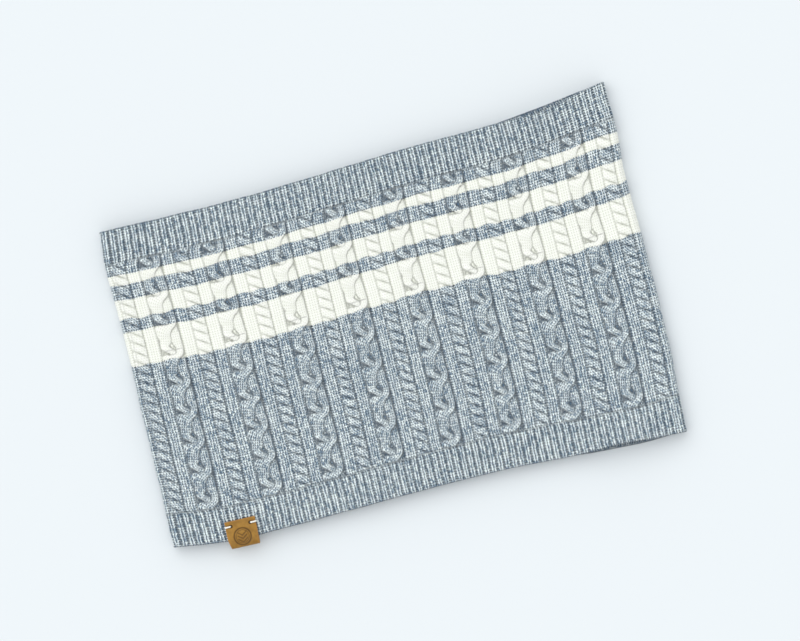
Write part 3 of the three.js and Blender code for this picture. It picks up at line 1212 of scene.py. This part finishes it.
@dataclass(frozen=True)
class YarnFinish:
    """Colours of a yarn: its lightest and middle strands, and the painted shade between the stitches."""

    name: str
    light: Colour
    middle: Colour
    # deep is the colour of the painted shade between the stitches and in hollows; depth sets how dark that
    # painted shade is.
    deep: Colour
    marl: float  # how strongly single strands differ
    depth: float  # how dark the gaps between the stitches are

    def build(self) -> bpy.types.Material:
        """The yarn's material, knitted on the stitches that its pieces carry.

        Returns:
            The material.
        """
        g = Graph(self.name)
        stitch = g.node("ShaderNodeAttribute", attribute_type="GEOMETRY", attribute_name="stitch")
        parts = g.node("ShaderNodeSeparateXYZ")
        g.feed(parts.inputs[0], stitch.outputs["Vector"])
        # The third value is the painted shading worked out with the mesh.
        wale, course, painted_shading = parts.outputs
        place = g.node("ShaderNodeTexCoord").outputs["Object"]
        # Across the wale: 0 at its middle line and 1 where it meets the next.
        across = g.math("FRACT", g.math("ADD", wale, 0.5))
        side = g.math("GREATER_THAN", across, 0.5)
        out = g.math("MULTIPLY", g.math("ABSOLUTE", g.math("SUBTRACT", across, 0.5)), 2.0)
        # The two legs of each stitch rise outwards from the middle line.
        rising = g.math("SUBTRACT", course, g.math("MULTIPLY", out, 0.5))
        phase = g.math("FRACT", rising)
        leg = g.math("SINE", g.math("MULTIPLY", phase, math.pi))
        dome = g.math("MULTIPLY", g.math("MULTIPLY", out, g.math("SUBTRACT", 1.06, out)), 3.6)
        dome = g.math("POWER", g.math("MAXIMUM", dome, 0.0), 0.6)
        body = g.math("MULTIPLY", g.math("POWER", g.math("MAXIMUM", leg, 0.0), 0.7), dome)
        # One random value for each leg.
        cell = g.node("ShaderNodeCombineXYZ")
        g.feed(cell.inputs[0], g.math("ADD", g.math("FLOOR", g.math("ADD", wale, 0.5)),
                                      g.math("MULTIPLY", side, 0.37)))
        g.feed(cell.inputs[1], g.math("FLOOR", rising))
        random = g.node("ShaderNodeTexWhiteNoise", noise_dimensions="3D")
        g.feed(random.inputs["Vector"], cell.outputs[0])
        strand = random.outputs["Value"]
        fibres = g.noise(place, 2600.0, 3.0, 0.7)
        cloud = g.noise(place, 160.0, 2.0, 0.5)
        # Two plies of different tones wind round each other, so that each leg shows flecks of both.
        flecks = g.node("ShaderNodeCombineXYZ")
        g.feed(flecks.inputs[0], g.math("MULTIPLY", wale, 2.7))
        g.feed(flecks.inputs[1], g.math("MULTIPLY", rising, 2.4))
        plies = g.noise(flecks.outputs[0], 1.0, 1.0, 0.5)
        tone = g.math("ADD", g.math("MULTIPLY", strand, 0.28), g.math("MULTIPLY", plies, 0.9))
        tone = g.math("ADD", tone, g.math("MULTIPLY", g.math("SUBTRACT", fibres, 0.5), 0.5))
        tone = g.math("ADD", tone, g.math("MULTIPLY", g.math("SUBTRACT", cloud, 0.5), 0.15))
        # Painted shade turns hollows towards the middle tone, and painted highlight turns raised places
        # towards the light one.
        tone = g.math("ADD", tone, g.math("MULTIPLY", painted_shading, 0.2))
        tone = g.math("MULTIPLY", g.step(0.46, 0.76, tone), self.marl)
        colour = g.mix(tone, linear(*self.light), linear(*self.middle))
        # Painted shade: dark lines of dots between the wales, and fainter gaps between the legs.
        wave = g.math("COSINE", g.math("MULTIPLY", phase, math.tau))
        dots = g.math("ADD", 0.52, g.math("MULTIPLY", wave, 0.48))
        between = g.math("MULTIPLY", g.step(0.36, 0.66, out), dots)
        legs = g.math("MULTIPLY", g.math("SUBTRACT", 1.0, g.step(0.05, 0.5, leg)), 0.55)
        shade = g.math("MULTIPLY", g.math("MAXIMUM", between, legs), self.depth)
        # The mesh's painted shading darkens it further; all is mixed towards the deep painted-shade
        # colour.
        shade = g.math("ADD", shade, g.math("MULTIPLY", painted_shading, 0.7), clamp=True)
        colour = g.mix(shade, colour, linear(*self.deep))
        g.feed(g.shader.inputs["Base Color"], colour)
        g.shader.inputs["Roughness"].default_value = 0.95
        g.shader.inputs["Specular IOR Level"].default_value = 0.15
        g.shader.inputs["Sheen Weight"].default_value = 0.25
        g.shader.inputs["Sheen Roughness"].default_value = 0.6
        raised = g.math("ADD", body, g.math("MULTIPLY", fibres, 0.35))
        bump = g.node("ShaderNodeBump")
        bump.inputs["Strength"].default_value = 1.0
        bump.inputs["Distance"].default_value = 0.0002
        g.feed(bump.inputs["Height"], raised)
        g.feed(g.shader.inputs["Normal"], bump.outputs["Normal"])
        return g.material


# The third colour of each yarn is its painted shade.
GREY_FINISH = YarnFinish("marled grey yarn", (246, 255, 255), (108, 134, 156), (12, 30, 48), 1.0, 1.0)
CREAM_FINISH = YarnFinish("cream yarn", (255, 255, 250), (250, 252, 242), (204, 208, 190), 1.0, 0.6)


@dataclass(frozen=True)
class LeatherFinish:
    """Tan leather, darker where it is pressed and lighter along its edges, with painted shade in its
    stitch holes and notches.
    """

    face: Colour = (160, 117, 40)
    patch: Colour = (138, 99, 30)
    # pressed is the leather's own darker colour in its pressed mark, and painted shade in its stitch holes
    # and notches.
    pressed: Colour = (74, 48, 16)
    edge: Colour = (178, 124, 58)

    def build(self) -> bpy.types.Material:
        """The leather's material.

        Returns:
            The material.
        """
        g = Graph("tan leather")
        place = g.node("ShaderNodeTexCoord").outputs["Object"]
        press_edge_and_hole_shade = g.node("ShaderNodeAttribute", attribute_type="GEOMETRY", attribute_name="press_edge_and_hole_shade")
        parts = g.node("ShaderNodeSeparateXYZ")
        g.feed(parts.inputs[0], press_edge_and_hole_shade.outputs["Vector"])
        cloudy = g.step(0.35, 0.68, g.noise(place, 240.0, 3.0, 0.6))
        grain = g.noise(place, 1900.0, 3.0, 0.65)
        colour = g.mix(cloudy, linear(*self.face), linear(*self.patch))
        colour = g.mix(g.math("MULTIPLY", g.step(0.5, 0.8, grain), 0.35), colour, linear(*self.pressed))
        colour = g.mix(g.math("MULTIPLY", parts.outputs[1], 0.6), colour, linear(*self.edge))
        # Darker where pressed; in the stitch holes and notches this is painted shade.
        colour = g.mix(g.math("MULTIPLY", parts.outputs[0], 0.85), colour, linear(*self.pressed))
        g.feed(g.shader.inputs["Base Color"], colour)
        g.shader.inputs["Roughness"].default_value = 0.52
        g.shader.inputs["Specular IOR Level"].default_value = 0.35
        bump = g.node("ShaderNodeBump")
        bump.inputs["Strength"].default_value = 0.7
        bump.inputs["Distance"].default_value = 0.00008
        g.feed(bump.inputs["Height"], grain)
        g.feed(g.shader.inputs["Normal"], bump.outputs["Normal"])
        return g.material


def thread_material() -> bpy.types.Material:
    """Near-white sewing thread.

    Returns:
        The material.
    """
    g = Graph("waxed white thread")
    g.shader.inputs["Base Color"].default_value = linear(246, 245, 238)
    g.shader.inputs["Roughness"].default_value = 0.65
    g.shader.inputs["Specular IOR Level"].default_value = 0.3
    return g.material


@dataclass(frozen=True)
class Studio:
    """Camera, light and floor, in metres."""

    turn: float = -14.0  # degrees, of the camera about its own line of sight
    aim: tuple[float, float, float] = (4.3 * MM, 0.35 * MM, FLAT_HEIGHT * MM)
    away: float = 1.5
    view: float = 0.4056  # across the picture at the object
    sensor: float = 36.0
    glow: float = 0.79  # strength of the light from all round
    glow_colour: tuple[float, float, float] = (0.97, 0.99, 1.0)
    key_from: tuple[float, float, float] = (-0.32, 0.38, 1.0)
    key_power: float = 1.42
    key_spread: float = 75.0  # degrees
    floor_size: float = 8.0
    floor_colour: Colour = (224, 229, 232)

    def build(self) -> None:
        """Sets up the camera, the light and the floor."""
        self._camera()
        self._light()
        self._floor()

    def _camera(self) -> None:
        """Looks straight down on the gaiter."""
        scene = bpy.context.scene
        data = bpy.data.cameras.new("camera")
        data.sensor_width = self.sensor
        data.lens = self.sensor * self.away / self.view
        data.clip_start, data.clip_end = 0.05, 10.0
        camera = bpy.data.objects.new("camera", data)
        camera.location = Vector(self.aim) + Vector((0, 0, self.away))
        camera.rotation_euler = (0, 0, math.radians(self.turn))
        scene.collection.objects.link(camera)
        scene.camera = camera
        scene.view_settings.view_transform = "Standard"

    def _light(self) -> None:
        """An even glow from all round and one wide, soft key light."""
        scene = bpy.context.scene
        world = bpy.data.worlds.new("studio")
        world.use_nodes = True
        background = world.node_tree.nodes["Background"]
        background.inputs["Color"].default_value = (*self.glow_colour, 1.0)
        background.inputs["Strength"].default_value = self.glow
        scene.world = world
        data = bpy.data.lights.new("key", "SUN")
        data.energy, data.angle = self.key_power, math.radians(self.key_spread)
        lamp = bpy.data.objects.new("key", data)
        lamp.location = self.key_from
        lamp.rotation_euler = (-Vector(self.key_from)).to_track_quat("-Z", "Y").to_euler()
        scene.collection.objects.link(lamp)

    def _floor(self) -> None:
        """A plain pale floor."""
        bpy.ops.object.select_all(action="DESELECT")
        bpy.ops.mesh.primitive_plane_add(size=self.floor_size)
        floor = bpy.context.object
        floor.name = floor.data.name = "studio_floor"
        g = Graph("studio floor")
        g.shader.inputs["Base Color"].default_value = linear(*self.floor_colour)
        g.shader.inputs["Roughness"].default_value = 0.9
        g.shader.inputs["Specular IOR Level"].default_value = 0.1
        floor.data.materials.append(g.material)


@dataclass
class Gaiter:
    """The whole object: makes every piece and says what it stands for."""

    around: float = 0.5446  # metres round the tube, laid flat and cut open
    lie: Lie = Lie()

    def __post_init__(self) -> None:
        """Casts on: the stitch plan and the two yarns."""
        self.fabric = Fabric(self.lie, StitchPlan())
        self.yarns = {Yarn.GREY: GREY_FINISH.build(), Yarn.CREAM: CREAM_FINISH.build()}

    def build(self) -> None:
        for band in BANDS:
            if band.name == "cable_body":
                front, back = self._split(band)
            else:
                self._dress(self.fabric.build(band, f"{band.name}_knit"), band)
        seam = linking_yarn(self.lie)
        self._stand_for(seam, "seam_linking_yarn", Yarn.GREY.value, self.yarns[Yarn.GREY])
        self._sew_tag()

    def _sew_tag(self) -> None:
        """Makes the tag and its two stitches.
        """
        tag = Tag(self.lie)
        strip = tag.leather()
        self._stand_for(strip, "leather_tag", "tag_leather", LeatherFinish().build())
        thread = thread_material()
        stitches = [tag.stitch(side) for side in (-1, 1)]
        for stitch, side in zip(stitches, ("left", "right")):
            self._stand_for(stitch, f"tag_stitch_{side}", "tag_thread", thread)

    def _split(self, band: Band) -> list[bpy.types.Object]:
        """Builds a tall band as an upper and a lower half, parted in the folds.

        Args:
            band: The band.

        Returns:
            The upper and the lower half.
        """
        count = len(self.fabric.inner)
        right = round(FRONT_WALES + FOLD_WALES / 2)
        left = round(WALES - FOLD_WALES / 2)
        halves = {"front": np.arange(left - count, right + 1), "back": np.arange(right, left + 1) % count}
        return [
            self._dress(self.fabric.build(band, f"{band.name}_{name}_knit", chosen), band)
            for name, chosen in halves.items()]

    def _dress(self, piece: bpy.types.Object, band: Band) -> bpy.types.Object:
        """Gives a knitted piece its yarn and says what it stands for."""
        return self._stand_for(piece, band.name, band.yarn.value, self.yarns[band.yarn])

    @staticmethod
    def _stand_for(piece: bpy.types.Object, node: str, slot: str,
                   material: bpy.types.Material) -> bpy.types.Object:
        """Gives a piece its material and its body, and hides the CAD node that it replaces.

        Args:
            piece: The piece.
            node: The CAD node.
            slot: Not used.
            material: The material.

        Returns:
            The same piece.
        """
        piece.data.materials.append(material)
        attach(piece, "root")
        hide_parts(node)
        LOG.info("%s stands for %s, with %d faces", piece.name, node, len(piece.data.polygons))
        return piece


def main() -> None:
    """Builds the studio and the gaiter."""
    logging.basicConfig(level=logging.INFO)
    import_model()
    Studio().build()
    Gaiter().build()


if __name__ == "__main__":
    main()
